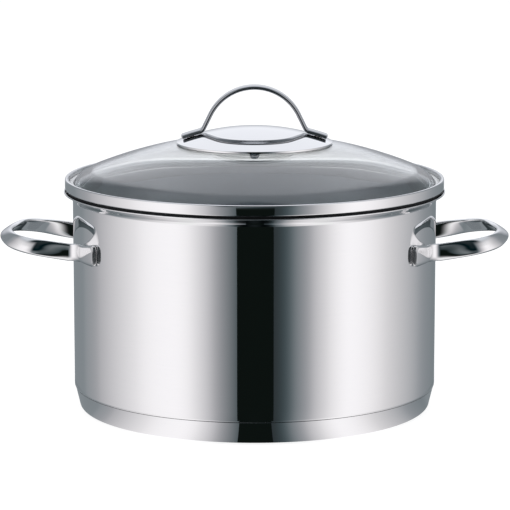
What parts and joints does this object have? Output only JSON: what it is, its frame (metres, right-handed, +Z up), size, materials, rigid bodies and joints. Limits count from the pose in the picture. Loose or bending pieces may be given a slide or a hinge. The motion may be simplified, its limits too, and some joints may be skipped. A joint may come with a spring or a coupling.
{
  "type": "stock pot with glass lid",
  "caption": "Round polished steel stock pot with an encapsulated base, strap side handles and a lift-off domed glass lid that has a steel rim, cap and bow handle.",
  "frame": {"origin": "centre of the flat face that the pot stands on", "axes": "+Z up, +X through the right handle, -Y towards the side seen in the picture"},
  "size_m": [0.3394, 0.2538, 0.2155],
  "materials": {
    "polished_steel": "mirror polished stainless steel, with a satin inside",
    "satin_steel": "plain satin stainless steel",
    "aluminium_core": "bare pressed aluminium",
    "clear_glass": "clear toughened glass with a faint green-blue edge",
    "silicone": "matte dark grey silicone",
    "pale_silicone": "matte milky silicone"
  },
  "bodies": {
    "pot": {"pot_body": "polished_steel", "base_core": "aluminium_core", "base_capsule": "polished_steel", "left_handle": "polished_steel", "right_handle": "polished_steel", "left_handle_welds": "satin_steel", "right_handle_welds": "satin_steel"},
    "lid": {"lid_rim": "polished_steel", "rim_seal": "pale_silicone", "lid_glass": "clear_glass", "lid_cap": "polished_steel", "lid_bow": "polished_steel", "bow_welds": "satin_steel", "cap_gasket": "silicone", "hole_bush": "silicone", "lid_stud": "satin_steel", "lower_gasket": "silicone", "lower_washer": "satin_steel", "lock_washer": "satin_steel", "cap_nut": "polished_steel"}
  },
  "joints": [
    {"name": "lid_lift", "type": "slide", "parent": "pot", "child": "lid", "axis": [0, 0, 1], "range_m": [0, 0.25]}
  ]
}
